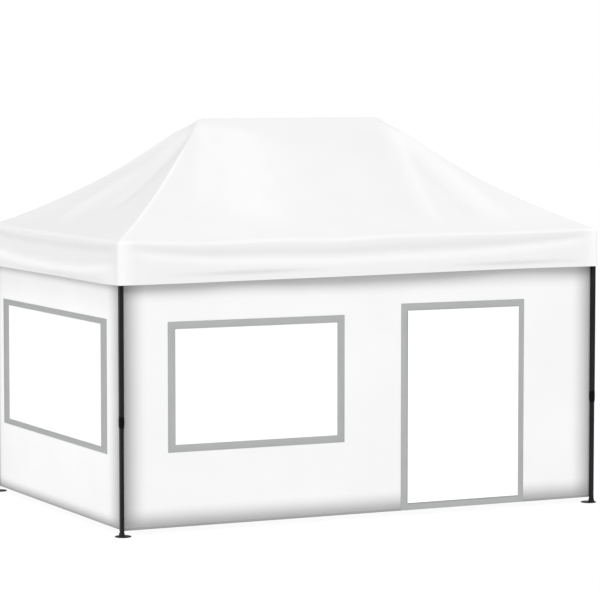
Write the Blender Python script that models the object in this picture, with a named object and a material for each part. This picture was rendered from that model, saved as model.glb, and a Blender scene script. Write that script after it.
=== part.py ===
"""Pop-up marquee, 3 by 4.5 m, with hip roof, valances, side walls, windows and a door.

Metres, +Z up. The origin is on the floor under the middle of the roof. X runs along
the long sides, and the door side faces -Y.
"""
import math

import bmesh
import bpy
from mathutils import Matrix

# Frame, measured to the leg centres
LEG_X = 2.233
LEG_Y = 1.483
GAP = 0.0003

# Legs
UPPER_TUBE = 0.035
LOWER_TUBE = 0.0304
TUBE_WALL = 0.0012
LEG_OVERLAP = 0.34
LATCH_BOTTOM = 0.893
LATCH_TOP = 0.988
LATCH_LEDGE = 0.017
LATCH_SIZE = 0.040
LATCH_BORE_CLEARANCE = 0.0004

# Foot plates, set a little inwards of the leg
FOOT_RADIUS = 0.068
FOOT_THICKNESS = 0.006
FOOT_INSET = 0.018
COLLAR_SIZE = 0.037
COLLAR_TOP = 0.036
FOOT_SIDES = 32

# Scissor trusses
UPPER_JOINT_Z = 2.365
LOWER_JOINT_Z = 2.135
JOINT_SIZE = 0.040
JOINT_HEIGHT = 0.060
BAR_HEIGHT = 0.022
BAR_THICKNESS = 0.010
BAR_LAYER_GAP = 0.0004
BAR_BITE = 0.0015
BOLT_RADIUS = 0.005
BOLT_PROUD = 0.003
BOLT_SIDES = 12
BAY_X = LEG_X * 2 / 3
INNER_JOINT_X = BAY_X / 2

# Corner brackets at the tops of the legs
CORNER_SIZE = 0.0614
CORNER_HEIGHT = 0.070

# Canopy fabric
FABRIC_OVERHANG = 0.035
FABRIC = 0.004
ROOF_FABRIC_DROP = 0.005
EAVE_Z = 2.411
VALANCE_BOTTOM = 2.058
RIDGE_Z = 3.380
RIDGE_HALF = 0.880
HIP_SAG = 0.085
PANEL_SAG = 0.030
ROOF_ROWS = 8
ROOF_COLUMNS = 12
WELD = 0.00001
EAVE_X = LEG_X + FABRIC_OVERHANG
EAVE_Y = LEG_Y + FABRIC_OVERHANG
UPPER_TUBE_TOP = EAVE_Z - ROOF_FABRIC_DROP - CORNER_HEIGHT / 4

# Ridge bar and its posts
RIDGE_BAR_RADIUS = 0.012
RIDGE_BAR_HALF = RIDGE_HALF - 0.015
POST_RADIUS = 0.014
ROUND_SIDES = 24

# Walls hang on the inner faces of the latches and truss joints
WALL = 0.004
WALL_BOTTOM = 0.047
WALL_TOP = 2.115
WALL_OUTER_Y = LEG_Y - LATCH_SIZE / 2 - GAP
WALL_OUTER_X = LEG_X - LATCH_SIZE / 2 - GAP

# Grey bands round the windows and the door. A window's upright bands have the first
# width, and its level ones the second.
BAND_THICKNESS = 0.002
BAND_LAP = 0.015
DOOR_BAND = 0.062
FRONT_BAND = (0.067, 0.061)
SIDE_BAND = (0.130, 0.049)

# Windows, each as its outer left, right, bottom and top
FRONT_WINDOW = (-1.812, -0.193, 0.667, 1.744)
SIDE_WINDOW = (-1.122, 1.325, 0.638, 1.757)

# Doorway, with a stitched hinge seam down its right side
DOOR_LEFT = 0.345
DOOR_RIGHT = 1.550
DOOR_TOP = 1.820
LEAF_CLEARANCE = 0.005
LEAF_THICKNESS = 0.005
HINGE_BEAD_RADIUS = 0.004
HINGE_BEAD_GAP = 0.0004
HINGE_STRIP = 0.006
BEAD_SIDES = 16

# Colour, metallic and roughness of each material
MATERIALS = {
    "canopy_fabric": ((0.86, 0.86, 0.85), 0.0, 0.75),
    "wall_fabric": ((0.88, 0.88, 0.88), 0.0, 0.80),
    "band_fabric": ((0.44, 0.45, 0.44), 0.0, 0.85),
    "window_film": ((0.95, 0.95, 0.95), 0.0, 0.30),
    "black_steel": ((0.025, 0.025, 0.027), 0.6, 0.45),
    "black_plastic": ((0.015, 0.015, 0.016), 0.0, 0.50),
}

CORNERS = {
    "front_left": (-1, -1),
    "front_right": (1, -1),
    "back_left": (-1, 1),
    "back_right": (1, 1),
}


def clear_scene():
    for thing in list(bpy.data.objects):
        bpy.data.objects.remove(thing, do_unlink=True)


def make_materials():
    """One Principled material for each finish."""
    made = {}
    for name, (colour, metallic, roughness) in MATERIALS.items():
        material = bpy.data.materials.new(name)
        material.use_nodes = True
        shader = material.node_tree.nodes["Principled BSDF"]
        shader.inputs["Base Color"].default_value = (*colour, 1.0)
        shader.inputs["Metallic"].default_value = metallic
        shader.inputs["Roughness"].default_value = roughness
        made[name] = material
    return made


def finish(name, bm, material, location=(0.0, 0.0, 0.0)):
    """Turns the bmesh into a named object with its faces pointing out."""
    bmesh.ops.recalc_face_normals(bm, faces=bm.faces[:])
    mesh = bpy.data.meshes.new(name)
    bm.to_mesh(mesh)
    bm.free()
    mesh.materials.append(material)
    thing = bpy.data.objects.new(name, mesh)
    thing.location = location
    bpy.context.scene.collection.objects.link(thing)
    return thing


def add_box(bm, low, high):
    """An axis-aligned block between two corners."""
    made = bmesh.ops.create_cube(bm, size=1.0)
    for vert in made["verts"]:
        vert.co = [low[i] + (vert.co[i] + 0.5) * (high[i] - low[i]) for i in range(3)]


def add_ring(bm, loops, sides, centre=(0.0, 0.0), along="z"):
    """A closed ring body: each loop is (half width, height), and the last meets the first.

    With 4 sides the half width is that of a square; with more it is a radius.
    """
    rows = []
    for half, height in loops:
        radius = half * math.sqrt(2) if sides == 4 else half
        row = []
        for k in range(sides):
            angle = math.tau * (k + 0.5) / sides
            a = centre[0] + radius * math.cos(angle)
            b = centre[1] + radius * math.sin(angle)
            point = (a, b, height) if along == "z" else (height, a, b)
            row.append(bm.verts.new(point))
        rows.append(row)
    for one, other in zip(rows, rows[1:] + rows[:1]):
        for k in range(sides):
            after = (k + 1) % sides
            bm.faces.new((one[k], one[after], other[after], other[k]))


def add_tube(bm, outer, wall, low, high, sides, centre=(0.0, 0.0), along="z"):
    """A straight hollow tube, open at both ends."""
    loops = [(outer, low), (outer, high), (outer - wall, high), (outer - wall, low)]
    add_ring(bm, loops, sides, centre, along)


def add_frame(bm, outer, inner, near, far, facing):
    """A flat frame: outer and inner are (left, right, bottom, top), with depth near to far."""

    def corners(edges, depth):
        left, right, bottom, top = edges
        flat = [(left, bottom), (right, bottom), (right, top), (left, top)]
        if facing == "y":
            return [bm.verts.new((u, depth, z)) for u, z in flat]
        return [bm.verts.new((depth, u, z)) for u, z in flat]

    loops = [corners(outer, near), corners(outer, far), corners(inner, far), corners(inner, near)]
    for one, other in zip(loops, loops[1:] + loops[:1]):
        for k in range(4):
            after = (k + 1) % 4
            bm.faces.new((one[k], one[after], other[after], other[k]))


def add_plate(bm, edges, near, far, facing):
    """A flat plate: edges are (left, right, bottom, top)."""
    left, right, bottom, top = edges
    if facing == "y":
        add_box(bm, (left, min(near, far), bottom), (right, max(near, far), top))
    else:
        add_box(bm, (min(near, far), left, bottom), (max(near, far), right, top))


def shrink(edges, across, upright=None):
    """The same rectangle, smaller by a margin on each side."""
    rise = across if upright is None else upright
    left, right, bottom, top = edges
    return (left + across, right - across, bottom + rise, top - rise)


def cut(thing, cutter_bm, operation="DIFFERENCE"):
    """Applies a Boolean with a helper body, which stays out of the model."""
    helper = finish(thing.name + "_helper", cutter_bm, thing.data.materials[0])
    modifier = thing.modifiers.new("boolean", "BOOLEAN")
    modifier.operation = operation
    modifier.solver = "EXACT"
    modifier.object = helper
    graph = bpy.context.evaluated_depsgraph_get()
    result = bpy.data.meshes.new_from_object(thing.evaluated_get(graph))
    thing.modifiers.clear()
    thing.data = result
    bpy.data.objects.remove(helper, do_unlink=True)


# Legs and feet

def upper_leg(name, side_x, side_y, materials):
    """The outer tube, fixed to the frame."""
    bm = bmesh.new()
    bottom = LATCH_BOTTOM + LATCH_LEDGE + GAP
    add_tube(bm, UPPER_TUBE / 2, TUBE_WALL, bottom, UPPER_TUBE_TOP, 4)
    place = (side_x * LEG_X, side_y * LEG_Y, 0.0)
    return finish("leg_upper_" + name, bm, materials["black_steel"], place)


def leg_latch(name, side_x, side_y, materials):
    """The height latch at the lower end of each outer tube."""
    bm = bmesh.new()
    guide = LOWER_TUBE / 2 + LATCH_BORE_CLEARANCE
    socket = UPPER_TUBE / 2 + GAP
    ledge = LATCH_BOTTOM + LATCH_LEDGE
    loops = [
        (LATCH_SIZE / 2, LATCH_BOTTOM),
        (LATCH_SIZE / 2, LATCH_TOP),
        (socket, LATCH_TOP),
        (socket, ledge),
        (guide, ledge),
        (guide, LATCH_BOTTOM),
    ]
    add_ring(bm, loops, 4)
    place = (side_x * LEG_X, side_y * LEG_Y, 0.0)
    return finish("leg_latch_" + name, bm, materials["black_plastic"], place)


def lower_leg(name, side_x, side_y, materials):
    """The inner tube, which slides down out of the outer one."""
    bm = bmesh.new()
    top = LATCH_BOTTOM + LATCH_LEDGE + LEG_OVERLAP
    add_tube(bm, LOWER_TUBE / 2, TUBE_WALL, FOOT_THICKNESS + GAP, top, 4)
    place = (side_x * LEG_X, side_y * LEG_Y, 0.0)
    return finish("leg_lower_" + name, bm, materials["black_steel"], place)


def foot_plate(name, side_x, side_y, materials):
    """A round plate with a square collar that holds the inner tube."""
    bm = bmesh.new()
    made = bmesh.ops.create_cone(
        bm, cap_ends=True, segments=FOOT_SIDES, radius1=FOOT_RADIUS, radius2=FOOT_RADIUS,
        depth=FOOT_THICKNESS)
    for vert in made["verts"]:
        vert.co.x -= side_x * FOOT_INSET
        vert.co.y -= side_y * FOOT_INSET
        vert.co.z += FOOT_THICKNESS / 2
    place = (side_x * LEG_X, side_y * LEG_Y, 0.0)
    foot = finish("foot_plate_" + name, bm, materials["black_steel"])
    collar = bmesh.new()
    bore = LOWER_TUBE / 2 + GAP
    low = FOOT_THICKNESS / 2
    loops = [(COLLAR_SIZE / 2, low), (COLLAR_SIZE / 2, COLLAR_TOP), (bore, COLLAR_TOP), (bore, low)]
    add_ring(collar, loops, 4)
    cut(foot, collar, "UNION")
    foot.location = place
    return foot


# Frame under the roof

def corner_bracket(name, side_x, side_y, materials):
    """The bracket that caps a leg and carries a corner of the roof."""
    bm = bmesh.new()
    top = EAVE_Z - ROOF_FABRIC_DROP - GAP
    bottom = top - CORNER_HEIGHT
    half = CORNER_SIZE / 2
    add_box(bm, (-half, -half, bottom), (half, half, top))
    place = (side_x * LEG_X, side_y * LEG_Y, 0.0)
    bracket = finish("corner_bracket_" + name, bm, materials["black_plastic"])
    socket = UPPER_TUBE / 2 + GAP
    bore = bmesh.new()
    add_box(bore, (-socket, -socket, bottom - CORNER_HEIGHT), (socket, socket, UPPER_TUBE_TOP + GAP))
    cut(bracket, bore)
    bracket.location = place
    return bracket


def joint_block(x, y, z):
    """A block where neighbouring scissor pairs meet."""
    bm = bmesh.new()
    half = JOINT_SIZE / 2
    rise = JOINT_HEIGHT / 2
    add_box(bm, (x - half, y - half, z - rise), (x + half, y + half, z + rise))
    return bm


def slider_ring(x, y):
    """The ring that slides on an outer tube and holds the low ends of the trusses."""
    bm = bmesh.new()
    wall = (JOINT_SIZE - UPPER_TUBE) / 2 - GAP
    low = LOWER_JOINT_Z - JOINT_HEIGHT / 2
    add_tube(bm, JOINT_SIZE / 2, wall, low, low + JOINT_HEIGHT, 4, (x, y))
    return bm


def scissor_bar(start, end, layer, offset, facing):
    """One bar with upright ends, in one of the two layers beside the truss plane."""
    bm = bmesh.new()
    near = offset + layer * BAR_LAYER_GAP / 2
    far = near + layer * BAR_THICKNESS
    half = BAR_HEIGHT / 2
    (u0, z0), (u1, z1) = start, end
    outline = [(u0, z0 - half), (u1, z1 - half), (u1, z1 + half), (u0, z0 + half)]
    rows = []
    for depth in (near, far):
        points = [(u, depth, z) if facing == "y" else (depth, u, z) for u, z in outline]
        rows.append([bm.verts.new(point) for point in points])
    bm.faces.new(rows[0])
    bm.faces.new(rows[1])
    for k in range(4):
        after = (k + 1) % 4
        bm.faces.new((rows[0][k], rows[0][after], rows[1][after], rows[1][k]))
    return bm


def pivot_bolt(u, z, offset, facing):
    """The bolt on which the two bars of a pair cross."""
    bm = bmesh.new()
    length = 2 * BAR_THICKNESS + BAR_LAYER_GAP + 2 * BOLT_PROUD
    turn = Matrix.Rotation(math.pi / 2, 4, "X" if facing == "y" else "Y")
    place = (u, offset, z) if facing == "y" else (offset, u, z)
    bmesh.ops.create_cone(
        bm, cap_ends=True, segments=BOLT_SIDES, radius1=BOLT_RADIUS, radius2=BOLT_RADIUS,
        depth=length, matrix=Matrix.Translation(place) @ turn)
    return bm


def scissor_truss(name, stations, offset, facing, extras, materials):
    """Scissor pairs between neighbouring stations, fused with the blocks that they carry.

    Each station is its place along the truss, then where the upper and lower bars stop
    short of it. Its own blocks are fused, so there the bars reach a little into them.
    """
    pieces = list(extras)
    for (u0, up0, low0), (u1, up1, low1) in zip(stations, stations[1:]):
        rising = ((u0 + low0, LOWER_JOINT_Z), (u1 - up1, UPPER_JOINT_Z))
        falling = ((u0 + up0, UPPER_JOINT_Z), (u1 - low1, LOWER_JOINT_Z))
        pieces.append(scissor_bar(*rising, 1, offset, facing))
        pieces.append(scissor_bar(*falling, -1, offset, facing))
        (a0, z0), (a1, z1) = rising
        (b0, w0), (b1, w1) = falling
        rise = (z1 - z0) / (a1 - a0)
        fall = (w1 - w0) / (b1 - b0)
        u = (w0 - fall * b0 - z0 + rise * a0) / (rise - fall)
        pieces.append(pivot_bolt(u, z0 + rise * (u - a0), offset, facing))
    truss = finish(name, pieces[0], materials["black_steel"])
    for piece in pieces[1:]:
        cut(truss, piece, "UNION")
    return truss


def trusses(materials):
    """Trusses along the four sides, and two across, which carry the peak posts.

    Each scissor pair along a side is a node of its own. On a long side the middle pair
    carries the joint blocks, and each outer one the slider ring on its leg. On a short
    side the front pair carries them.
    """
    corner = CORNER_SIZE / 2 + GAP
    near = JOINT_SIZE / 2 + GAP
    fused = JOINT_SIZE / 2 - BAR_BITE
    middle = [(-INNER_JOINT_X, fused, fused), (INNER_JOINT_X, fused, fused)]
    side_front = [(-LEG_Y, corner, near), (0.0, fused, fused)]
    side_back = [(0.0, near, near), (LEG_Y, corner, near)]
    across = [(-LEG_Y, near, near), (0.0, fused, fused), (LEG_Y, near, near)]
    levels = (LOWER_JOINT_Z, UPPER_JOINT_Z)
    for side, name in ((-1, "front"), (1, "back")):
        y = side * LEG_Y
        blocks = [joint_block(x, y, z) for x in (-INNER_JOINT_X, INNER_JOINT_X) for z in levels]
        scissor_truss("truss_" + name + "_middle", middle, y, "y", blocks, materials)
        for end, end_name in ((-1, "left"), (1, "right")):
            bay = sorted([(end * LEG_X, corner, fused), (end * INNER_JOINT_X, near, near)])
            ring = slider_ring(end * LEG_X, y)
            scissor_truss("truss_" + name + "_" + end_name, bay, y, "y", [ring], materials)
    for side, name in ((-1, "left"), (1, "right")):
        x = side * LEG_X
        blocks = [joint_block(x, 0.0, z) for z in levels]
        scissor_truss("truss_" + name + "_front", side_front, x, "x", blocks, materials)
        scissor_truss("truss_" + name + "_back", side_back, x, "x", [], materials)
        x = side * INNER_JOINT_X
        blocks = [joint_block(x, 0.0, z) for z in levels]
        scissor_truss("cross_truss_" + name, across, x, "x", blocks, materials)


# Roof

def roof_height(slope, bulge):
    """Height of the fabric at a share of the way down from the ridge to the eave.

    bulge is 0 in the middle of a slope and 1 on its hips, where the fabric sags least.
    """
    sag = HIP_SAG + PANEL_SAG * (1.0 - bulge * bulge)
    return RIDGE_Z - (RIDGE_Z - EAVE_Z) * slope - 4.0 * sag * slope * (1.0 - slope)


def ridge_bar_z():
    """Centre of the ridge bar, laid against the undersides of both long slopes."""
    step = 1.0 / ROOF_ROWS
    drop = (roof_height(0.0, 0.0) - roof_height(step, 0.0)) / (step * EAVE_Y)
    reach = (RIDGE_BAR_RADIUS + GAP) * math.sqrt(1.0 + drop * drop)
    return RIDGE_Z - ROOF_FABRIC_DROP - reach


def add_roof_slope(bm, facing, side, drop):
    """One slope of the hip roof as rows of faces. The last row, at the eave, is returned."""
    rows = []
    for i in range(ROOF_ROWS + 1):
        slope = i / ROOF_ROWS
        out_x = RIDGE_HALF + (EAVE_X - RIDGE_HALF) * slope
        out_y = EAVE_Y * slope
        row = []
        for k in range(ROOF_COLUMNS + 1):
            across = 2.0 * k / ROOF_COLUMNS - 1.0
            z = roof_height(slope, across) - drop
            if facing == "y":
                row.append(bm.verts.new((across * out_x, side * out_y, z)))
            else:
                row.append(bm.verts.new((side * out_x, across * out_y, z)))
        rows.append(row)
    for one, other in zip(rows, rows[1:]):
        for k in range(ROOF_COLUMNS):
            bm.faces.new((one[k], one[k + 1], other[k + 1], other[k]))
    return rows[-1]


def canopy_roof(materials):
    """The roof fabric: four slopes sewn together, closed underneath and along the eave."""
    bm = bmesh.new()
    for facing in ("x", "y"):
        for side in (-1, 1):
            upper = add_roof_slope(bm, facing, side, 0.0)
            lower = add_roof_slope(bm, facing, side, ROOF_FABRIC_DROP)
            for k in range(ROOF_COLUMNS):
                bm.faces.new((upper[k], upper[k + 1], lower[k + 1], lower[k]))
    bmesh.ops.remove_doubles(bm, verts=bm.verts[:], dist=WELD)
    return finish("canopy_roof", bm, materials["canopy_fabric"])


def valances(materials):
    """The straight skirt that hangs from the eave, one panel for each side."""
    top = EAVE_Z - ROOF_FABRIC_DROP - GAP
    between = EAVE_Y - FABRIC - GAP
    for name, side in (("front", -1), ("back", 1)):
        bm = bmesh.new()
        edges = (-EAVE_X, EAVE_X, VALANCE_BOTTOM, top)
        add_plate(bm, edges, side * EAVE_Y, side * (EAVE_Y - FABRIC), "y")
        finish("valance_" + name, bm, materials["canopy_fabric"])
    for name, side in (("left", -1), ("right", 1)):
        bm = bmesh.new()
        edges = (-between, between, VALANCE_BOTTOM, top)
        add_plate(bm, edges, side * EAVE_X, side * (EAVE_X - FABRIC), "x")
        finish("valance_" + name, bm, materials["canopy_fabric"])


def ridge_bar(materials):
    bm = bmesh.new()
    add_tube(bm, RIDGE_BAR_RADIUS, TUBE_WALL, -RIDGE_BAR_HALF, RIDGE_BAR_HALF, ROUND_SIDES,
             (0.0, ridge_bar_z()), "x")
    return finish("ridge_bar", bm, materials["black_steel"])


def peak_post(name, side, materials):
    """A post from a cross truss up to the ridge bar."""
    bm = bmesh.new()
    low = UPPER_JOINT_Z + JOINT_HEIGHT / 2 + GAP
    high = ridge_bar_z() - RIDGE_BAR_RADIUS - GAP
    add_tube(bm, POST_RADIUS, TUBE_WALL, low, high, ROUND_SIDES, (side * INNER_JOINT_X, 0.0))
    return finish("peak_post_" + name, bm, materials["black_steel"])


# Walls, windows and door

def wall_hole(window, band):
    """The hole cut in a wall, whose edge lies hidden behind the band."""
    return shrink(window, band[0] - BAND_LAP, band[1] - BAND_LAP)


def walls(materials):
    """Four walls. The front one is split beside and over the doorway."""
    fabric = materials["wall_fabric"]
    end_x = WALL_OUTER_X - WALL - GAP
    outer_y = -WALL_OUTER_Y
    inner_y = outer_y + WALL

    bm = bmesh.new()
    edges = (-end_x, DOOR_LEFT - GAP, WALL_BOTTOM, WALL_TOP)
    add_frame(bm, edges, wall_hole(FRONT_WINDOW, FRONT_BAND), outer_y, inner_y, "y")
    finish("front_wall_left", bm, fabric)

    bm = bmesh.new()
    add_plate(bm, (DOOR_RIGHT + GAP, end_x, WALL_BOTTOM, WALL_TOP), outer_y, inner_y, "y")
    finish("front_wall_right", bm, fabric)

    bm = bmesh.new()
    edges = (DOOR_LEFT, DOOR_RIGHT, DOOR_TOP + GAP, WALL_TOP)
    add_plate(bm, edges, outer_y, inner_y, "y")
    finish("front_wall_over_door", bm, fabric)

    bm = bmesh.new()
    edges = (-end_x, end_x, WALL_BOTTOM, WALL_TOP)
    add_plate(bm, edges, WALL_OUTER_Y, WALL_OUTER_Y - WALL, "y")
    finish("back_wall", bm, fabric)

    for name, side in (("left_wall", -1), ("right_wall", 1)):
        bm = bmesh.new()
        edges = (-WALL_OUTER_Y, WALL_OUTER_Y, WALL_BOTTOM, WALL_TOP)
        hole = wall_hole(SIDE_WINDOW, SIDE_BAND)
        add_frame(bm, edges, hole, side * WALL_OUTER_X, side * (WALL_OUTER_X - WALL), "x")
        finish(name, bm, fabric)


def windows(materials):
    """The milky panes, and the grey bands sewn on over their edges."""
    spots = {
        "front": (FRONT_WINDOW, FRONT_BAND, "y", -1, WALL_OUTER_Y),
        "left": (SIDE_WINDOW, SIDE_BAND, "x", -1, WALL_OUTER_X),
        "right": (SIDE_WINDOW, SIDE_BAND, "x", 1, WALL_OUTER_X),
    }
    for name, (window, band, facing, side, face) in spots.items():
        bm = bmesh.new()
        near = side * (face + GAP)
        far = near + side * BAND_THICKNESS
        add_frame(bm, window, shrink(window, *band), near, far, facing)
        finish(name + "_window_frame", bm, materials["band_fabric"])
        bm = bmesh.new()
        pane = shrink(wall_hole(window, band), GAP)
        add_plate(bm, pane, side * face, side * (face - WALL), facing)
        finish(name + "_window_film", bm, materials["window_film"])


def leaf_edges():
    """The door leaf laps over the grey band, which shows all round it."""
    return shrink((DOOR_LEFT, DOOR_RIGHT, WALL_BOTTOM, DOOR_TOP), DOOR_BAND)


def door_axis():
    """X and Y of the upright line about which the leaf turns."""
    y = -WALL_OUTER_Y - LEAF_CLEARANCE - LEAF_THICKNESS / 2
    return (leaf_edges()[1], y)


def door_frame(materials):
    """The grey band round the doorway, with the raised seam beside the hinge bead."""
    bm = bmesh.new()
    outer = (DOOR_LEFT, DOOR_RIGHT, WALL_BOTTOM, DOOR_TOP)
    inner = shrink(outer, DOOR_BAND + BAND_LAP)
    add_frame(bm, outer, inner, -WALL_OUTER_Y, -WALL_OUTER_Y + WALL, "y")
    frame = finish("door_frame", bm, materials["band_fabric"])
    left, right, bottom, top = leaf_edges()
    start = right + HINGE_BEAD_RADIUS + HINGE_BEAD_GAP
    seam = bmesh.new()
    low = (start, door_axis()[1], bottom)
    high = (start + HINGE_STRIP, -WALL_OUTER_Y + WALL / 2, top)
    add_box(seam, low, high)
    cut(frame, seam, "UNION")
    return frame


def door_leaf(materials):
    """The door flap, with its hinge bead down the right edge."""
    left, right, bottom, top = leaf_edges()
    axis_x, axis_y = door_axis()
    bm = bmesh.new()
    half = LEAF_THICKNESS / 2
    add_box(bm, (left - axis_x, -half, bottom), (0.0, half, top))
    leaf = finish("door_leaf", bm, materials["window_film"])
    bead = bmesh.new()
    made = bmesh.ops.create_cone(
        bead, cap_ends=True, segments=BEAD_SIDES, radius1=HINGE_BEAD_RADIUS,
        radius2=HINGE_BEAD_RADIUS, depth=top - bottom)
    for vert in made["verts"]:
        vert.co.z += (top + bottom) / 2
    cut(leaf, bead, "UNION")
    leaf.location = (axis_x, axis_y, 0.0)
    return leaf


def main():
    clear_scene()
    materials = make_materials()
    for name, (side_x, side_y) in CORNERS.items():
        upper_leg(name, side_x, side_y, materials)
        leg_latch(name, side_x, side_y, materials)
        corner_bracket(name, side_x, side_y, materials)
        lower_leg(name, side_x, side_y, materials)
        foot_plate(name, side_x, side_y, materials)
    trusses(materials)
    ridge_bar(materials)
    peak_post("left", -1, materials)
    peak_post("right", 1, materials)
    canopy_roof(materials)
    valances(materials)
    walls(materials)
    windows(materials)
    door_frame(materials)
    door_leaf(materials)


main()
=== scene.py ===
"""The looks of the pop-up marquee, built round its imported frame.

Metres, +Z up, in the frame's own axes: X runs along the long sides, the door side
faces -Y, and the floor is at z = 0.
"""

import math

import bpy
import numpy as np
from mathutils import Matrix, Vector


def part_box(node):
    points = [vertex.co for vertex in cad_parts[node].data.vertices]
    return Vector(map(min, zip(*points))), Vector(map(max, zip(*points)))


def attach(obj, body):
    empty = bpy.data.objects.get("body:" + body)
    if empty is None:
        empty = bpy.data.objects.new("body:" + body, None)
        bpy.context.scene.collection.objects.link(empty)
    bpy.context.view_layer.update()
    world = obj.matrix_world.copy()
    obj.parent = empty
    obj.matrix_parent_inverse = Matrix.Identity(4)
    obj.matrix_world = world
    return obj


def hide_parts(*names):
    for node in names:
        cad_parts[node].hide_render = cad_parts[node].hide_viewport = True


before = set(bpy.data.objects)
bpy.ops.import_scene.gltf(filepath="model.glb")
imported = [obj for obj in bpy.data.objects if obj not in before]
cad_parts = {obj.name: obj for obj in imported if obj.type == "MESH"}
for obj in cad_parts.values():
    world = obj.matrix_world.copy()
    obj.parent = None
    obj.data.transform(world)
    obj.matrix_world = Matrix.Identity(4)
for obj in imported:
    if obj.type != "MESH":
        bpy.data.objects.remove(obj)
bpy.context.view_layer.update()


def middle(node):
    """The middle of a node's box in plan, and half its width."""
    low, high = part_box(node)
    return (low.x + high.x) / 2, (low.y + high.y) / 2, (high.x - low.x) / 2


# Camera, fitted to the photograph: its place, its turn from +Y to the right and its tilt down
CAMERA_PLACE = (-11.21, -23.288, 3.765)
CAMERA_YAW = 0.4521
CAMERA_PITCH = 0.0774
CAMERA_LENS = 174.95
SENSOR = 36.0
CAMERA_REACH = 200.0

# Frame sizes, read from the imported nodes. The roof's node reaches a little below the eave,
# and the ridge of the cloth a little past the ridge bar.
ROOF_DROP = 0.005
PEAK_REACH = 0.015
EAVE_X, EAVE_Y, RIDGE_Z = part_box("canopy_roof")[1]
EAVE_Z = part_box("canopy_roof")[0].z + ROOF_DROP
RIDGE_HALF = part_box("ridge_bar")[1].x + PEAK_REACH
HEM_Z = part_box("valance_front")[0].z
VALANCE_HEIGHT = EAVE_Z - HEM_Z
LEG_X, LEG_Y, _ = middle("leg_upper_back_right")
UPPER_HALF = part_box("leg_upper_back_right")[1].x - LEG_X
LOWER_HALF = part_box("leg_lower_back_right")[1].x - LEG_X

# Stitches: their size, and the length and width of their tops as shares
STITCH = 0.005
STITCH_GAP = 0.0035
STITCH_WIDTH = 0.0009
STITCH_RISE = 0.0004
STITCH_TOP = (0.84, 0.6)

CORNERS = {
    "front_left": (-1, -1),
    "front_right": (1, -1),
    "back_left": (-1, 1),
    "back_right": (1, 1),
}

# The quarters of an outline in plan, in the order in which it is walked
QUARTERS = ((1, 1), (-1, 1), (-1, -1), (1, -1))


# Materials

class Shader:
    """A material under construction, with short ways to add its nodes."""

    def __init__(self, name):
        self.material = bpy.data.materials.new(name)
        self.material.use_nodes = True
        self.tree = self.material.node_tree

    def fill(self, node, inputs):
        """Sets inputs of a node, or joins them where they are outputs of other nodes."""
        for key, value in inputs.items():
            if isinstance(value, bpy.types.NodeSocket):
                self.tree.links.new(value, node.inputs[key])
            else:
                node.inputs[key].default_value = value

    def add(self, kind, out, inputs, **settings):
        """One output of a new node."""
        node = self.tree.nodes.new(kind)
        for key, value in settings.items():
            setattr(node, key, value)
        self.fill(node, inputs)
        return node.outputs[out]

    def attribute(self, name):
        return self.add("ShaderNodeAttribute", "Fac", {}, attribute_name=name)

    def place(self):
        """Object coordinates, which are metres in the frame's own axes."""
        return self.add("ShaderNodeTexCoord", "Object", {})

    def noise(self, scale, detail=2.0, roughness=0.5):
        inputs = {"Vector": self.place(), "Scale": scale, "Detail": detail, "Roughness": roughness}
        return self.add("ShaderNodeTexNoise", "Fac", inputs)

    def ribs(self, pitch, direction):
        """Ribs that repeat every pitch metres along one direction.

        At scale 1 the wave texture repeats every tau / 20.
        """
        inputs = {"Vector": self.place(), "Scale": math.tau / 20 / pitch}
        return self.add("ShaderNodeTexWave", "Fac", inputs, wave_type="BANDS", bands_direction=direction)

    def plus(self, first, second):
        return self.add("ShaderNodeMath", 0, {0: first, 1: second}, operation="ADD")

    def weave(self, pitch):
        """Threads along all three axes, as seen on a sheet that faces any way."""
        x, y, z = (self.ribs(pitch, direction) for direction in ("X", "Y", "Z"))
        return self.plus(self.plus(x, y), z)

    def between(self, amount, low, high, start=0.3, end=0.7):
        """Maps an amount in start..end to low..high. Noise lies mostly in 0.3..0.7."""
        inputs = {"Value": amount, "From Min": start, "From Max": end, "To Min": low, "To Max": high}
        return self.add("ShaderNodeMapRange", "Result", inputs)

    def colour(self, amount, first, second):
        """A colour between two. A Mix node's colours are its inputs 6 and 7 and its output 2."""
        inputs = {"Factor": amount, 6: (*first, 1.0), 7: (*second, 1.0)}
        return self.add("ShaderNodeMix", 2, inputs, data_type="RGBA")

    def clouded(self, noise, first, second):
        """A colour that drifts between two."""
        return self.colour(self.between(noise, 0.0, 1.0), first, second)

    def finish(self, inputs):
        """The material, once its surface has these inputs."""
        self.fill(self.tree.nodes["Principled BSDF"], inputs)
        return self.material

    def finish_rough(self, colour, rough, relief, depth, specular=0.5, sheen=0.0, metallic=0.0):
        """The material with a relief and an uneven roughness, given as its scale and its range."""
        scale, low, high = rough
        return self.finish({
            "Base Color": colour,
            "Roughness": self.between(self.noise(scale, 3.0), low, high),
            "Normal": self.add("ShaderNodeBump", "Normal", {"Distance": depth, "Height": relief}),
            "Specular IOR Level": specular,
            "Sheen Weight": sheen,
            "Metallic": metallic,
        })


def grey(level):
    return (level, level, level)


def canopy_cloth():
    """White coated polyester, from its grey at tone 0 to its white at tone 1; tone is mostly painted light
    and shade.
    """
    shader = Shader("canopy_cloth")
    tone = shader.plus(shader.attribute("tone"), shader.between(shader.noise(2.3, 3.0), -0.04, 0.04))
    colour = shader.colour(tone, grey(0.70), (0.86, 0.86, 0.857))
    return shader.finish_rough(colour, (45.0, 0.55, 0.65), shader.weave(0.0016), 0.00006, sheen=0.08)


def wall_cloth(name, light, painted_shade_grey):
    """Coated polyester with painted shade along a panel's edges, as the attribute margin says."""
    shader = Shader(name)
    margin = shader.plus(shader.attribute("margin"), shader.between(shader.noise(1.7), -0.02, 0.02))
    colour = shader.colour(margin, grey(light), grey(painted_shade_grey))
    return shader.finish_rough(colour, (45.0, 0.62, 0.72), shader.weave(0.0014), 0.00005)


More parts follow.
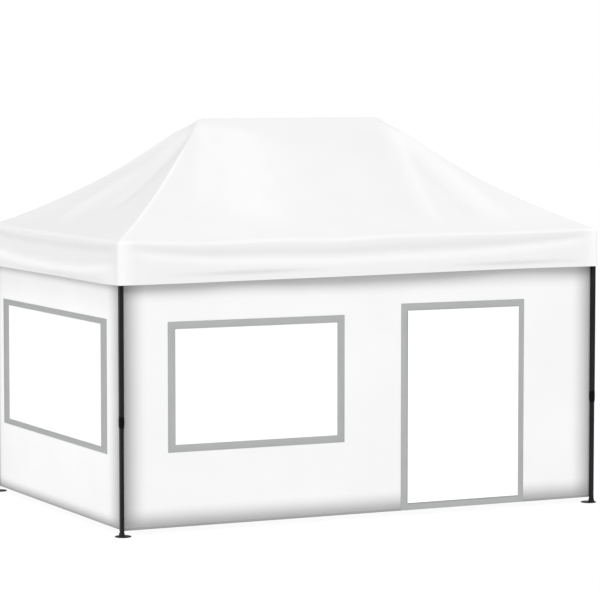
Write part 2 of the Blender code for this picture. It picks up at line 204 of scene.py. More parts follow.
def webbing():
    """Grey woven band with a fine diagonal twill."""
    shader = Shader("grey_webbing")
    twill = shader.ribs(0.0022, "DIAGONAL")
    worn = shader.between(shader.noise(6.0, 4.0), 0.0, 0.25)
    amount = shader.plus(shader.between(twill, 0.15, 0.5, 0.0, 1.0), worn)
    colour = shader.colour(amount, (0.34, 0.35, 0.345), (0.42, 0.43, 0.425))
    return shader.finish_rough(colour, (60.0, 0.80, 0.92), twill, 0.00012, specular=0.25)


def milky_film():
    """Window film: smooth, glossy and slightly uneven."""
    shader = Shader("milky_film")
    colour = shader.clouded(shader.noise(1.1), grey(0.93), grey(0.955))
    return shader.finish_rough(colour, (14.0, 0.16, 0.26), shader.noise(3.5), 0.0006)


def powder_coat():
    """Black powder coat on steel, with its fine orange-peel surface."""
    shader = Shader("black_powder_coat")
    colour = shader.clouded(shader.noise(9.0, 4.0), (0.008, 0.008, 0.0084), (0.0135, 0.0135, 0.014))
    return shader.finish_rough(colour, (120.0, 0.42, 0.56), shader.noise(700.0), 0.00008, specular=0.13)


def moulded_nylon():
    """Black nylon with a fine spark-eroded grain."""
    shader = Shader("black_nylon")
    grain = shader.noise(1400.0, 3.0, 0.6)
    colour = shader.clouded(grain, (0.0022, 0.0022, 0.0023), (0.0045, 0.0045, 0.0047))
    return shader.finish_rough(colour, (30.0, 0.50, 0.64), grain, 0.00010, specular=0.06)


def zinc_plate():
    """Bright zinc-plated steel of the bolts."""
    shader = Shader("zinc_plate")
    colour = shader.clouded(shader.noise(90.0, 3.0), (0.42, 0.42, 0.44), (0.62, 0.62, 0.64))
    return shader.finish_rough(colour, (200.0, 0.28, 0.42), shader.noise(400.0), 0.00004, metallic=1.0)


def thread(name, low, high):
    """Twisted sewing thread."""
    shader = Shader(name)
    twist = shader.ribs(0.0011, "DIAGONAL")
    return shader.finish_rough(shader.colour(twist, low, high), (90.0, 0.62, 0.78), twist, 0.00010)


CANOPY = canopy_cloth()
# The short walls' cloth is painted lighter than the long walls' cloth, to make up for the weaker light on
# the short sides: painted light. The second grey of each is its painted shade along the edges.
FRONT_CLOTH = wall_cloth("front_wall_cloth", 0.816, 0.24)
SIDE_CLOTH = wall_cloth("side_wall_cloth", 0.90, 0.255)
WEBBING = webbing()
FILM = milky_film()
STEEL = powder_coat()
NYLON = moulded_nylon()
ZINC = zinc_plate()
WHITE_THREAD = thread("white_thread", grey(0.80), grey(0.90))
GREY_THREAD = thread("grey_thread", (0.26, 0.27, 0.265), (0.36, 0.37, 0.365))


# Mesh helpers

def linked(name, data, place=(0.0, 0.0, 0.0), tilt=0.0, turn=0.0):
    """A new object in the scene: its place, its tilt up from straight down, and its turn."""
    thing = bpy.data.objects.new(name, data)
    thing.location = place
    thing.rotation_euler = (tilt, 0.0, turn)
    bpy.context.scene.collection.objects.link(thing)
    return thing


def new_piece(name, mesh, material, body="marquee_frame"):
    """Links a mesh into the scene, gives it its material and lets it ride on its body."""
    mesh.materials.append(material)
    thing = linked(name, mesh)
    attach(thing, body)
    return thing


def mesh_of(name, points, faces, angle=35.0):
    """A smooth-shaded mesh, whose edges are sharp where faces meet at more than the angle."""
    mesh = bpy.data.meshes.new(name)
    mesh.from_pydata([tuple(p) for p in points], [], faces)
    mesh.update()
    mesh.polygons.foreach_set("use_smooth", [True] * len(mesh.polygons))
    mesh.set_sharp_from_angle(angle=math.radians(angle))
    return mesh


def shell(name, points, faces, thickness, marks=None):
    """A closed sheet: the given outer face, an inner face behind it and a rim between.

    marks are values for the points, kept as attributes of both faces.
    """
    points = np.asarray(points, float)
    count = len(points)
    outer = mesh_of(name + "_outer", points, faces)
    normals = np.zeros(count * 3)
    outer.vertices.foreach_get("normal", normals)
    bpy.data.meshes.remove(outer)
    inner = points - normals.reshape(-1, 3) * thickness
    directed = {(face[k], face[(k + 1) % len(face)]) for face in faces for k in range(len(face))}
    rim = sorted((b, a, a + count, b + count) for a, b in directed if (b, a) not in directed)
    behind = [tuple(i + count for i in reversed(face)) for face in faces]
    mesh = mesh_of(name, np.concatenate([points, inner]), list(faces) + behind + rim)
    for key, values in (marks or {}).items():
        layer = mesh.attributes.new(key, "FLOAT", "POINT")
        layer.data.foreach_set("value", np.tile(np.asarray(values, float), 2))
    return mesh


def smooth_step(values, low, high):
    """0 up to low, 1 from high on, and a smooth rise between."""
    share = np.clip((np.asarray(values, float) - low) / (high - low), 0.0, 1.0)
    return share * share * (3.0 - 2.0 * share)


def smooth_max(first, second, width):
    """The larger of two values, rounded where they cross."""
    near = np.clip(1.0 - np.abs(first - second) / width, 0.0, 1.0)
    return np.maximum(first, second) + width * near * near / 4


def loft(loops, closed=False):
    """Faces between loops of equally many points. Open ends are capped, unless the loops close."""
    count = len(loops[0])
    points = [point for loop in loops for point in loop]
    faces = []
    pairs = list(zip(range(len(loops)), range(1, len(loops))))
    if closed:
        pairs.append((len(loops) - 1, 0))
    for one, other in pairs:
        for k in range(count):
            after = (k + 1) % count
            faces.append((one * count + k, one * count + after, other * count + after, other * count + k))
    if not closed:
        faces.append(tuple(reversed(range(count))))
        last = (len(loops) - 1) * count
        faces.append(tuple(range(last, last + count)))
    return points, faces


def merge(parts):
    """Several bodies of points and faces as one."""
    points = []
    faces = []
    for own_points, own_faces in parts:
        start = len(points)
        points.extend(own_points)
        faces.extend(tuple(i + start for i in face) for face in own_faces)
    return points, faces


def circle(radius, count):
    """Places on a circle round the origin."""
    return [(radius * math.cos(a), radius * math.sin(a)) for a in np.arange(count) * math.tau / count]


def rounded(half, radius, segments=8):
    """A square outline with rounded corners, as places round the origin.

    radius is one for all four corners, or one for each of QUARTERS.
    """
    radii = radius if isinstance(radius, tuple) else (radius,) * 4
    outline = []
    for number, ((sign_u, sign_v), own) in enumerate(zip(QUARTERS, radii)):
        for k in range(segments + 1):
            angle = math.pi / 2 * (number + k / segments)
            outline.append((sign_u * (half - own) + own * math.cos(angle),
                            sign_v * (half - own) + own * math.sin(angle)))
    return outline


def loop_at(x, y, z, outline):
    """A flat outline as points round a place."""
    return [(x + u, y + v, z) for u, v in outline]


def stitches(name, places, along, outward, material, body="marquee_frame"):
    """Many small stitches as one mesh: where each lies, its direction and what faces out."""
    across = np.cross(outward, along)
    corners = []
    for rise, length, width in ((-STITCH_RISE / 2, 1.0, 1.0), (STITCH_RISE, *STITCH_TOP)):
        for a, b in ((-1, -1), (1, -1), (1, 1), (-1, 1)):
            corners.append(places + outward * rise + along * (a * STITCH / 2 * length)
                           + across * (b * STITCH_WIDTH / 2 * width))
    points = np.stack(corners, axis=1).reshape(-1, 3)
    block = [(3, 2, 1, 0), (4, 5, 6, 7), (0, 1, 5, 4), (1, 2, 6, 5), (2, 3, 7, 6), (3, 0, 4, 7)]
    faces = [tuple(8 * n + k for k in face) for n in range(len(places)) for face in block]
    return new_piece(name, mesh_of(name, points, faces), material, body)


def stitch_run(start, end):
    """Evenly spaced places from start to end, and their direction."""
    start = np.asarray(start, float)
    end = np.asarray(end, float)
    length = np.linalg.norm(end - start)
    count = max(1, int(length / (STITCH + STITCH_GAP)))
    shares = (np.arange(count) + 0.5) / count
    return start + shares[:, None] * (end - start), np.repeat((end - start)[None] / length, count, axis=0)


# Roof and valance: one sewn cover

ROOF_FABRIC = 0.0012

# How far hips and slopes sag, how softly hips, ridge and corners are rounded, and from which
# share of the slope the corners are
HIP_SAG = 0.085
PANEL_SAG = 0.030
HIP_ROUNDING = 0.030
RIDGE_ROUNDING = 0.004
CORNER_ROUNDING = 0.035
CORNER_START = 0.80

# Rows of the cover, as shares of the slope and of the valance, and its columns per side
RIDGE_ROWS = (0.002, 0.0045, 0.008, 0.012, 0.018, 0.026, 0.038)
ROOF_START = 0.055
ROOF_END = 0.982
ROOF_ROWS = 44
VALANCE_START = 0.05
VALANCE_ROWS = 40
LONG_COLUMNS = 112
SHORT_COLUMNS = 78

# Tones of the cloth, which are mostly painted light and shade. At the ridge, and at the eave first on
# the long and then on the short sides: painted lighter towards the eave, and darker on the short
# sides. The valance's painted tones on the long and the short sides, and what a full lean adds: painted
# light where the cloth faces up, painted shade where it faces down. Then the painted highlight beside a
# corner: its tone, and how far from the corner it is full and ends. Then the tone of the hip seams, whose
# two layers of cloth are lighter and which carry a painted highlight on the hips, the half width of a
# hip seam, and the share of the slope from which the seam is full.
RIDGE_TONE = 0.16
EAVE_TONES = (0.42, 0.28)
LONG_TONE = 0.38
SHORT_TONE = 0.34
LEAN_TONE = 0.35
CORNER_HIGHLIGHT_TONE = 0.80
CORNER_HIGHLIGHT_REACH = (0.03, 0.16)
SEAM_AND_HIGHLIGHT_TONE = 0.80
SEAM_HALF = 0.016
SEAM_FULL = 0.35

# Folds of the roof in plan: a line from the peak outwards, its half width, its rise, and how much
# lighter the cloth is painted on it, as a painted highlight on a crest and as painted shade where below
# 0. They are given for the front and the left slope, and turned by half a turn for the others.
ROOF_FOLDS = [
    ([(0.90, -0.02), (0.96, -0.30), (0.93, -0.55), (0.865, -0.83), (0.820, -1.12), (0.80, -1.40)],
     0.055, 0.015, 0.20),
    ([(0.96, -0.10), (1.13, -0.33), (1.21, -0.50), (1.315, -0.69), (1.40, -0.98), (1.49, -1.35)],
     0.110, 0.022, 0.20),
    ([(0.72, -0.10), (0.66, -0.40), (0.62, -0.80), (0.60, -1.30)], 0.22, -0.004, -0.08),
    ([(1.02, -0.35), (1.10, -0.65), (1.16, -0.95), (1.20, -1.30)], 0.09, -0.008, -0.10),
    ([(-0.82, -0.03), (-0.945, -0.32), (-1.12, -0.65), (-1.30, -0.98)], 0.075, 0.012, 0.10),
    ([(-0.56, -0.05), (-0.66, -0.40), (-0.80, -0.85), (-0.95, -1.30)], 0.33, 0.006, 0.24),
    ([(-0.95, -0.02), (-1.12, 0.02), (-1.33, 0.12), (-1.56, 0.28), (-1.80, 0.36), (-2.12, 0.39)],
     0.16, 0.024, 0.12),
    ([(-0.95, -0.03), (-1.12, -0.13), (-1.32, -0.19), (-1.54, -0.24), (-1.93, -0.27)],
     0.12, -0.026, -0.04),
]

# Shares of a fold's line between which it is full, and of the slope where all folds die out
FOLD_START = 0.10
FOLD_END = 0.75
FOLD_LIMIT = (0.85, 0.99)

# The eave dips a little between its supports: place along the side, reach and depth. A dip
# starts at a share of the way out to the eave, and fades from a share of the way to a corner.
EAVE_DIPS = [(-0.66, 0.22, 0.026), (-0.15, 0.16, 0.018), (0.62, 0.22, 0.006)]
DIP_START = 0.75
DIP_CORNER = 0.85

# Folds of the valance: the depth share of each in mid-side and at the corners, its half
# width, its lean (above 0 faces up), where along the side it is, and half its length
WIDE = (0.0, 9.0)
LONG_VALANCE = [
    (0.035, 0.03, 0.045, 0.38, -0.05, 0.60),
    (0.32, 0.12, 0.120, -0.28, *WIDE),
    (0.58, 0.24, 0.105, 0.34, *WIDE),
    (0.79, 0.77, 0.050, -0.62, -0.47, 0.22),
    (0.84, 0.82, 0.050, -0.57, 0.63, 0.22),
]
SHORT_VALANCE = [
    (0.03, 0.03, 0.040, 0.14, *WIDE),
    (0.22, 0.13, 0.050, -0.64, *WIDE),
    (0.36, 0.26, 0.060, 0.30, *WIDE),
    (0.77, 0.56, 0.085, 0.80, *WIDE),
    (0.93, 0.95, 0.060, -0.50, 0.15, 0.7),
]

# Distances from a corner between which the folds grow
CORNER_CALM = (0.02, 0.30)

# The hem is drawn up at the front right corner: how far, the share of the front side where
# the rise is full, and the share of the right side where it has gone
HEM_LIFT = 0.030
LIFT_FULL = 0.8
LIFT_GONE = 0.4


def beside(x, y, path):
    """How far points lie from a line of points, and how far along it, from 0 to 1."""
    path = np.asarray(path, float)
    lengths = np.linalg.norm(np.diff(path, axis=0), axis=1)
    starts = np.concatenate([[0.0], np.cumsum(lengths)])
    nearest = np.full(np.shape(x), np.inf)
    along = np.zeros(np.shape(x))
    for (x0, y0), (x1, y1), length, start in zip(path, path[1:], lengths, starts):
        share = ((x - x0) * (x1 - x0) + (y - y0) * (y1 - y0)) / length**2
        share = np.clip(share, 0.0, 1.0)
        away = np.hypot(x - x0 - share * (x1 - x0), y - y0 - share * (y1 - y0))
        along = np.where(away < nearest, (start + share * length) / starts[-1], along)
        nearest = np.minimum(away, nearest)
    return nearest, along


def roof_folds(x, y):
    """The rise of all folds, and how much lighter the cloth is painted on them, as highlight and shade."""
    rise = np.zeros(np.shape(x))
    lighter = np.zeros(np.shape(x))
    for path, width, height, tone in ROOF_FOLDS:
        for turn in (1, -1):
            away, along = beside(turn * x, turn * y, path)
            fade = smooth_step(along, 0.0, FOLD_START) * (1.0 - smooth_step(along, FOLD_END, 1.0))
            crest = fade * np.exp(-(away / width) ** 2)
            rise = rise + height * crest
            lighter = lighter + tone * crest
    return rise, lighter


def eave_dip(x, y):
    """How far the eave hangs below its corners, on the long sides."""
    dip = np.zeros(np.shape(x))
    for centre, reach, depth in EAVE_DIPS:
        dip = dip + depth * np.exp(-(((-np.sign(y) * x / EAVE_X - centre) / reach) ** 2))
    inside = 1.0 - smooth_step(np.abs(x) / EAVE_X, DIP_CORNER, 1.0)
    return dip * smooth_step(np.abs(y) / EAVE_Y, DIP_START, 1.0) * inside


def roof_height(x, y):
    """Height of the roof's outer face over a point in plan."""
    along = np.sqrt(y * y + RIDGE_ROUNDING**2) / EAVE_Y
    end = (np.abs(x) - RIDGE_HALF) / (EAVE_X - RIDGE_HALF)
    slope = smooth_max(along, end, HIP_ROUNDING)
    long_across = np.abs(x) / (RIDGE_HALF + (EAVE_X - RIDGE_HALF) * along)
    end_across = along / np.maximum(end, 1e-6)
    across = np.clip(np.where(along >= end, long_across, end_across), 0.0, 1.0)
    sag = HIP_SAG + PANEL_SAG * (1.0 - across * across)
    base = RIDGE_Z - (RIDGE_Z - EAVE_Z) * slope - 4.0 * sag * slope * (1.0 - slope)
    rise, _ = roof_folds(x, y)
    return base + rise * (1.0 - smooth_step(slope, *FOLD_LIMIT)) - eave_dip(x, y)


def hip_distance(x, y):
    """How far a point in plan lies from the nearest hip."""
    run = EAVE_X - RIDGE_HALF
    return np.abs((np.abs(x) - RIDGE_HALF) * EAVE_Y - np.abs(y) * run) / math.hypot(run, EAVE_Y)


def column_shares(count):
    """Places along one side from -1 to 1, closer together towards its ends."""
    even = np.linspace(-1.0, 1.0, count + 1)
    return 0.25 * even + 0.75 * np.sin(even * math.pi / 2)


LONG_SHARES = column_shares(LONG_COLUMNS)
SHORT_SHARES = column_shares(SHORT_COLUMNS)

# A walk round the eave: front, right, back and left side, as its direction and what faces out
WALK = [((1, 0), (0, -1)), ((0, 1), (1, 0)), ((-1, 0), (0, 1)), ((0, -1), (-1, 0))]
COLUMN_SIDE = np.repeat([0, 1, 2, 3], [LONG_COLUMNS, SHORT_COLUMNS] * 2)
COLUMN_SHARE = np.concatenate([LONG_SHARES[:-1], SHORT_SHARES[:-1]] * 2)
ON_LONG_SIDE = COLUMN_SIDE % 2 == 0


def rounded_loop(half_x, half_y, radius):
    """Points and outward directions of a rectangle with rounded corners, for every column."""
    half_along = np.where(ON_LONG_SIDE, half_x, half_y)
    half_out = np.where(ON_LONG_SIDE, half_y, half_x)
    from_end = half_along * (1.0 - np.abs(COLUMN_SHARE))
    angle = np.clip(1.0 - from_end / max(radius, 1e-9), 0.0, 1.0) * math.pi / 4
    sign = np.sign(COLUMN_SHARE)
    bent = sign * (half_along - radius * (1.0 - np.sin(angle)))
    along = np.where(angle > 0, bent, COLUMN_SHARE * half_along)
    out = half_out - radius * (1.0 - np.cos(angle))
    forth = np.array([direction for direction, _ in WALK])[COLUMN_SIDE]
    away = np.array([facing for _, facing in WALK])[COLUMN_SIDE]
    points = along[:, None] * forth + out[:, None] * away
    outward = (sign * np.sin(angle))[:, None] * forth + np.cos(angle)[:, None] * away
    return points, outward


def valance_folds(depth):
    """How far the valance stands out and how it leans at a share of its depth, for every column."""
    out = np.zeros(len(COLUMN_SIDE))
    leaning = np.zeros(len(COLUMN_SIDE))
    for folds, chosen in ((LONG_VALANCE, ON_LONG_SIDE), (SHORT_VALANCE, ~ON_LONG_SIDE)):
        share = COLUMN_SHARE[chosen]
        for middle_line, ends, width, lean, centre, reach in folds:
            line = ends + (middle_line - ends) * (1.0 - np.abs(share) ** 2.2)
            there = lean * np.exp(-(((share - centre) / reach) ** 2))
            step = np.tanh((depth - line) / width) - np.tanh(-line / width)
            out[chosen] += there * width * VALANCE_HEIGHT * step
            leaning[chosen] += there / np.cosh((depth - line) / width) ** 2
    half = np.where(ON_LONG_SIDE, EAVE_X, EAVE_Y)
    calm = smooth_step(half * (1.0 - np.abs(COLUMN_SHARE)), *CORNER_CALM)
    return out * calm, leaning * calm


def hem_height():
    """Height of the valance's hem, for every column."""
    front = smooth_step(COLUMN_SHARE, -1.0, LIFT_FULL) * (COLUMN_SIDE == 0)
    right = (1.0 - smooth_step(COLUMN_SHARE, -1.0, LIFT_GONE)) * (COLUMN_SIDE == 1)
    return HEM_Z + HEM_LIFT * (front + right)


def valance_loop(depth, eave_z):
    """Points of the valance at one depth share, for every column."""
    points, outward = rounded_loop(EAVE_X, EAVE_Y, CORNER_ROUNDING)
    out, _ = valance_folds(depth)
    spot = points + outward * out[:, None]
    return np.column_stack([spot, eave_z + (hem_height() - eave_z) * depth])


def skirt_tone(points, depth):
    """The tone of the valance, which is painted, with a painted highlight beside its corners on the long
    sides.

    On the short sides it has painted light where the cloth leans outwards to its hem, and painted shade
    where it leans in.
    """
    away = EAVE_X - np.abs(points[:, 0])
    full, end = CORNER_HIGHLIGHT_REACH
    # A painted highlight beside the corners of the long sides
    corner_highlight = smooth_step(away, 0.0, full) * (1.0 - smooth_step(away, full, end)) * ON_LONG_SIDE
    _, leaning = valance_folds(depth)
    # The valance's painted tone, with painted light and shade on the folds of its short sides
    painted_light_tone = np.where(ON_LONG_SIDE, LONG_TONE, SHORT_TONE + LEAN_TONE * leaning)
    return painted_light_tone + (CORNER_HIGHLIGHT_TONE - painted_light_tone) * corner_highlight


def roof_tone(x, y, share):
    """The tone of the roof at one share of its slopes: painted light and shade, and lighter hip seams."""
    # The hip seam: its two layers of cloth are lighter, and it carries a painted highlight on the hip
    seam = np.exp(-(hip_distance(x, y) / SEAM_HALF) ** 2) * smooth_step(share, 0.0, SEAM_FULL)
    _, lighter = roof_folds(x, y)
    # Painted lighter from the ridge towards the eave, less so on the short sides, with painted light and
    # shade along the folds
    painted_light_tone = RIDGE_TONE + (np.where(ON_LONG_SIDE, *EAVE_TONES) - RIDGE_TONE) * share + lighter
    return painted_light_tone + (SEAM_AND_HIGHLIGHT_TONE - painted_light_tone) * seam


def cover_rows():
    """Rows of points from the ridge to the hem, and their tone."""
    rows = []
    tones = []
    for share in (*RIDGE_ROWS, *np.linspace(ROOF_START, ROOF_END, ROOF_ROWS)):
        half_x = RIDGE_HALF + (EAVE_X - RIDGE_HALF) * share
        corner = CORNER_ROUNDING * float(smooth_step(share, CORNER_START, 1.0))
        plan, _ = rounded_loop(half_x, EAVE_Y * share, corner)
        x, y = plan[:, 0], plan[:, 1]
        rows.append(np.column_stack([plan, roof_height(x, y)]))
        tones.append(roof_tone(x, y, share))
    edge, _ = rounded_loop(EAVE_X, EAVE_Y, CORNER_ROUNDING)
    eave_z = EAVE_Z - eave_dip(edge[:, 0], edge[:, 1])
    start = rows[-1]
    bend = np.column_stack([edge, eave_z])
    end = valance_loop(VALANCE_START, eave_z)
    for t in (0.25, 0.5, 0.75):
        rows.append((1 - t) ** 2 * start + 2 * t * (1 - t) * bend + t * t * end)
        tones.append(skirt_tone(rows[-1], VALANCE_START * t))
    for depth in np.linspace(VALANCE_START, 1.0, VALANCE_ROWS):
        rows.append(valance_loop(depth, eave_z))
        tones.append(skirt_tone(rows[-1], depth))
    return rows, tones


def ridge_index(column):
    """The point of the ridge above a column. A whole end meets in its peak."""
    column = column % len(COLUMN_SIDE)
    if column < LONG_COLUMNS:
        return column
    if column < LONG_COLUMNS + SHORT_COLUMNS:
        return LONG_COLUMNS
    return max(0, 2 * LONG_COLUMNS + SHORT_COLUMNS - column)


def cover():
    """The whole cover as one sheet, from the ridge down to the hem of the valance."""
    rows, tones = cover_rows()
    ridge_x = RIDGE_HALF * LONG_SHARES
    level = np.zeros_like(ridge_x)
    ridge = np.column_stack([ridge_x, level, roof_height(ridge_x, level)])
    columns = len(COLUMN_SIDE)
    points = np.concatenate([ridge, *rows])
    tone = np.concatenate([level, *tones])

    def index(row, column):
        return len(ridge) + row * columns + column % columns

    faces = []
    for column in range(columns):
        top, after = ridge_index(column), ridge_index(column + 1)
        low = (index(0, column), index(0, column + 1))
        faces.append((top, *low) if top == after else (top, *low, after))
        for row in range(len(rows) - 1):
            faces.append((index(row, column), index(row + 1, column),
                          index(row + 1, column + 1), index(row, column + 1)))
    mesh = shell("canopy_cover", points, faces, ROOF_FABRIC, {"tone": tone})
    piece = new_piece("canopy_cover", mesh, CANOPY)
    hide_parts("canopy_roof", "valance_front", "valance_back", "valance_left", "valance_right")
    sewing = hem_stitches(rows)


def hem_stitches(rows):
    """One row of stitches along the hem of the valance."""
    loop = (rows[-3] + rows[-2]) / 2
    runs = [stitch_run(start, end) for start, end in zip(loop, np.roll(loop, -1, axis=0))]
    places, along = (np.concatenate(values) for values in zip(*runs))
    outward = np.cross(along, (0.0, 0.0, 1.0))
    outward = outward / np.linalg.norm(outward, axis=1, keepdims=True)
    return stitches("valance_hem_stitches", places, along, outward, WHITE_THREAD)


# Walls, windows and door

WALL_FABRIC = 0.0009
WALL_STEP = 0.030
WALL_SET_BACK = 0.0004
CORNER_LAP = 0.015

# The depth of a wall's ripples, and how far from its sides or a hole, and from its foot or
# top, they are full
RIPPLE = 0.0016
CALM_SIDE = 0.25
CALM_END = 0.20

# Hems: their width, the width and height of their step, and where their seams run and end
HEM = 0.030
HEM_STEP = 0.0012
HEM_RISE = 0.0005
HEM_SEAM = HEM - 0.004
SEAM_SIDE_END = 0.01
SEAM_TOP_END = 0.02

# Bands round the openings: the widths of their uprights and level strips, how far the door's
# band laps the flap, their faces before and behind the wall, and where their seams run
DOOR_BAND = 0.062
FRONT_BAND = (0.067, 0.061)
SIDE_BAND = (0.130, 0.049)
BAND_LAP = 0.015
BAND_FRONT = 0.0013
BAND_BACK = 0.0008
BAND_BEVEL = 0.0010
BAND_SEAMS = (0.09, 0.91)

# The window film: its thickness, how far it lies behind the wall's face and laps the wall,
# its hollow, and how far from its edges that is full
PANE = 0.0008
PANE_SET_BACK = 0.0020
PANE_SEAM = 0.008
PANE_HOLLOW = 0.0010
PANE_CALM = 0.30

# The flap: its thickness, how far it stands out from the hinge line, its hem and seam, the
# depth of its ripples and of its hem's step, its piping, and how far the wall laps its band
FLAP = 0.0022
FLAP_PROUD = 0.0016
FLAP_HEM = 0.018
FLAP_SEAM = 0.003
FLAP_RIPPLE = 0.0006
FLAP_CALM = (0.02, 0.30)
PIPING_PLAY = 0.0003
PIPING_END = 0.001
DOORWAY_LAP = 0.020

# How much darker the cloth is painted towards the foot of a wall that faces along x or y: painted
# shade, which evens out the real shade under the valance at the wall's top
PAINTED_FOOT_SHADE = {"x": 0.095, "y": 0.05}

# The painted shade along a wall's edges, where shade falls beside the legs, at the floor and under the
# valance: reach and depth at its left, right and lower edge, and at its top the depth, and where it
# starts and ends below the hem of the valance
LONG_PAINTED_RIMS = ((0.22, 0.94), (0.195, 0.76), (0.18, 0.98), (0.35, 0.010, 0.150))
SHORT_PAINTED_RIMS = ((0.34, 1.0), (0.05, 0.8), (0.10, 0.98), (0.62, 0.000, 0.078))


class Side:
    """One upright side of the marquee, which turns flat places into points."""

    def __init__(self, facing, sign, support):
        self.facing = facing
        self.sign = sign
        self.flip = (sign > 0) == (facing == "y")
        self.support = support

    def place(self, along, out, height):
        along, out, height = np.broadcast_arrays(along, out, height)
        away = self.sign * out
        order = [along, away, height] if self.facing == "y" else [away, along, height]
        return np.stack(order, axis=-1).astype(float)

    def turned(self, *corners):
        """The corners of a face in the order that makes it face outwards."""
        return tuple(reversed(corners)) if self.flip else tuple(corners)

    def edges(self, *nodes):
        """Left, right, bottom, top and outer face of some nodes on this side."""
        low = np.min([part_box(node)[0] for node in nodes], axis=0)
        high = np.max([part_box(node)[1] for node in nodes], axis=0)
        axis = 0 if self.facing == "y" else 1
        face = max(abs(low[1 - axis]), abs(high[1 - axis]))
        return (low[axis], high[axis], low[2], high[2]), face


FRONT = Side("y", -1, "truss_front_middle")
BACK = Side("y", 1, "truss_back_middle")
LEFT = Side("x", -1, "truss_left_front")
RIGHT = Side("x", 1, "truss_right_front")


def grown(edges, across, upright=None):
    """The same rectangle, larger by a margin on each side."""
    rise = across if upright is None else upright
    left, right, bottom, top = edges
    return (left - across, right + across, bottom - rise, top + rise)


def corners_of(edges):
    """The corners of a rectangle, in turn."""
    left, right, bottom, top = edges
    return [(left, bottom), (right, bottom), (right, top), (left, top)]


def runs_round(edges):
    """The sides of a rectangle, in turn, each as its start and its end."""
    corners = corners_of(edges)
    return list(zip(corners, corners[1:] + corners[:1]))


def edge_distances(u, z, edges):
    """How far a place lies inside the nearer upright and the nearer level edge."""
    left, right, bottom, top = edges
    return np.minimum(u - left, right - u), np.minimum(z - bottom, top - z)


def away_from(u, z, hole):
    """How far a place lies outside a rectangle."""
    sideways, upwards = edge_distances(u, z, hole)
    return np.hypot(np.maximum(-sideways, 0.0), np.maximum(-upwards, 0.0))


def stations(fixed):
    """Coordinates that hold every fixed one, with even steps between them."""
    fixed = sorted(set(round(float(value), 6) for value in fixed))
    made = [fixed[0]]
    for low, high in zip(fixed, fixed[1:]):
        parts = max(1, math.ceil((high - low) / WALL_STEP - 1e-6))
        made.extend(low + (high - low) * (k + 1) / parts for k in range(parts))
    return np.array(made)


def sheet_grid(side, edges, face, holes, out_of, marks_of=None, extra=((), ())):
    """Points, faces and marks of an upright sheet with rectangular holes.

    extra are further places that need points, across and upwards.
    """
    across = stations([*edges[:2], *extra[0], *[v for hole in holes for v in hole[:2]]])
    upright = stations([*edges[2:], *extra[1], *[v for hole in holes for v in hole[2:]]])
    u, z = np.meshgrid(across, upright)
    points = side.place(u, face + out_of(u, z), z).reshape(-1, 3)
    columns = len(across)
    faces = []
    for i in range(len(upright) - 1):
        for k in range(columns - 1):
            middle_u = (across[k] + across[k + 1]) / 2
            middle_z = (upright[i] + upright[i + 1]) / 2
            if any(h[0] < middle_u < h[1] and h[2] < middle_z < h[3] for h in holes):
                continue
            a = i * columns + k
            faces.append(side.turned(a, a + 1, a + 1 + columns, a + columns))
    used = sorted({i for f in faces for i in f})
    new = {old: k for k, old in enumerate(used)}
    faces = [tuple(new[i] for i in f) for f in faces]
    marks = marks_of(u, z) if marks_of else {}
    return points[used], faces, {key: value.reshape(-1)[used] for key, value in marks.items()}


def sew(name, side, runs, out_of, material, body="marquee_frame", holes=()):
    """Stitches along flat runs of a sheet, which stop before the bands round its holes."""
    places = []
    along = []
    for start, end in runs:
        spots, directions = stitch_run(start, end)
        keep = np.ones(len(spots), bool)
        for hole in holes:
            keep = keep & (away_from(spots[:, 0], spots[:, 1], hole) > DOOR_BAND)
        u, z = spots[keep].T
        places.append(side.place(u, out_of(u, z), z))
        along.append(side.place(directions[keep, 0], 0.0, directions[keep, 1]))
    places = np.concatenate(places)
    outward = np.repeat(side.place(0.0, 1.0, 0.0)[None], len(places), axis=0)
    return stitches(name, places, np.concatenate(along), outward, material, body)


def rim(away, reach, depth):
    """How much painted shade the cloth has at a distance from its edge."""
    share = np.clip(1.0 - away / reach, 0.0, 1.0)
    return depth * share ** (1.5 - 0.3 * share)


